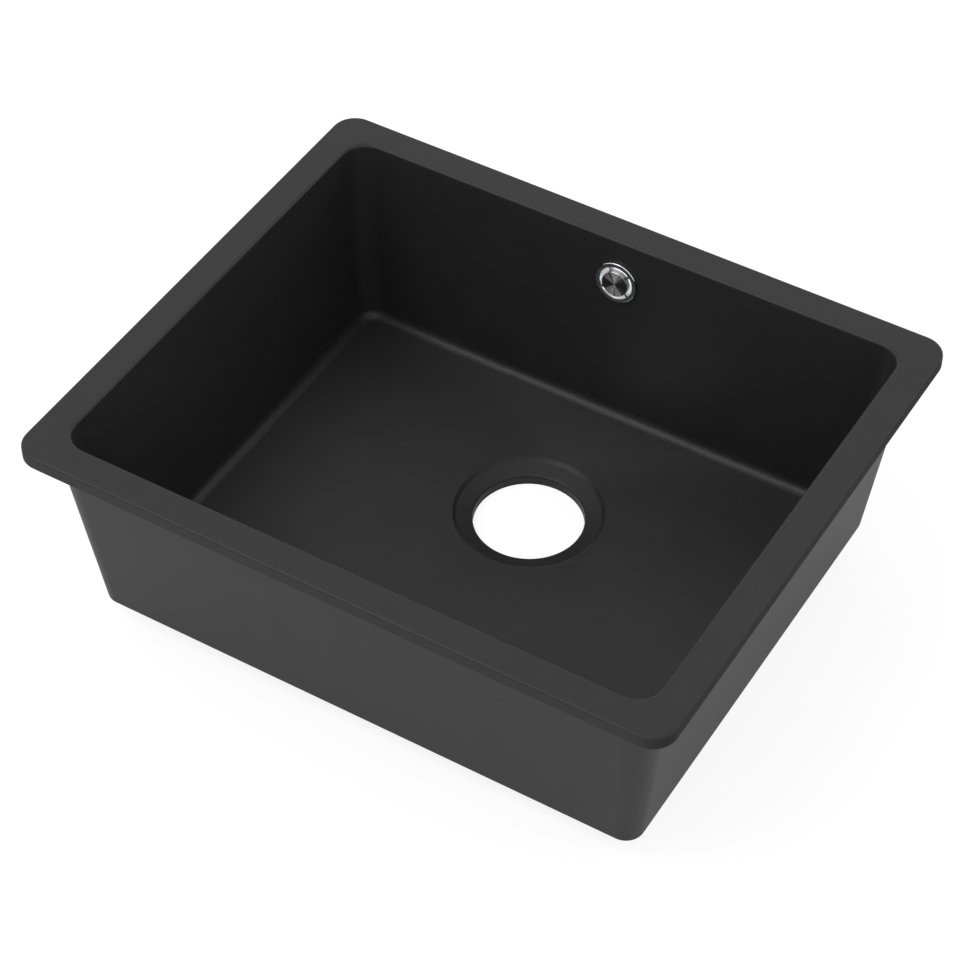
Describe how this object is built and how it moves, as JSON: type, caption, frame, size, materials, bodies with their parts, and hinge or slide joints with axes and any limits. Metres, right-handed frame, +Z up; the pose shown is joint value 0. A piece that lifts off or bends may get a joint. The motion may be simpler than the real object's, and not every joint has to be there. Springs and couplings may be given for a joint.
{
  "type": "inset kitchen sink",
  "caption": "Matt black rectangular inset sink with a rounded rim, one deep tapered bowl, an open drain seat towards the back and a round overflow with a turned metal cap.",
  "frame": {"origin": "centre of the sink's outline in the plane of the rim's underside, where it rests on the worktop", "axes": "+X along the long side to the right, +Y to the back wall with the overflow, +Z up"},
  "size_m": [0.55, 0.46, 0.1982],
  "materials": {
    "composite": "matt, finely grained",
    "chrome": "polished",
    "turned_steel": "turned face",
    "brass": "machined",
    "rubber": "matt",
    "washer_plastic": "matt",
    "nut_plastic": "matt"
  },
  "bodies": {
    "sink": {"sink_bowl": "composite", "overflow_flange": "chrome", "front_seal": "rubber", "rear_seal": "rubber", "slip_washer": "washer_plastic", "overflow_nut": "nut_plastic", "clip_anchors": "brass"},
    "cap": {"overflow_cap": "turned_steel", "cap_stem": "brass", "stem_o_ring": "rubber"}
  },
  "joints": [
    {"name": "cap_pull_off", "type": "slide", "parent": "sink", "child": "cap", "axis": [0, -0.9955, 0.0946], "range_m": [0, 0.03]}
  ]
}
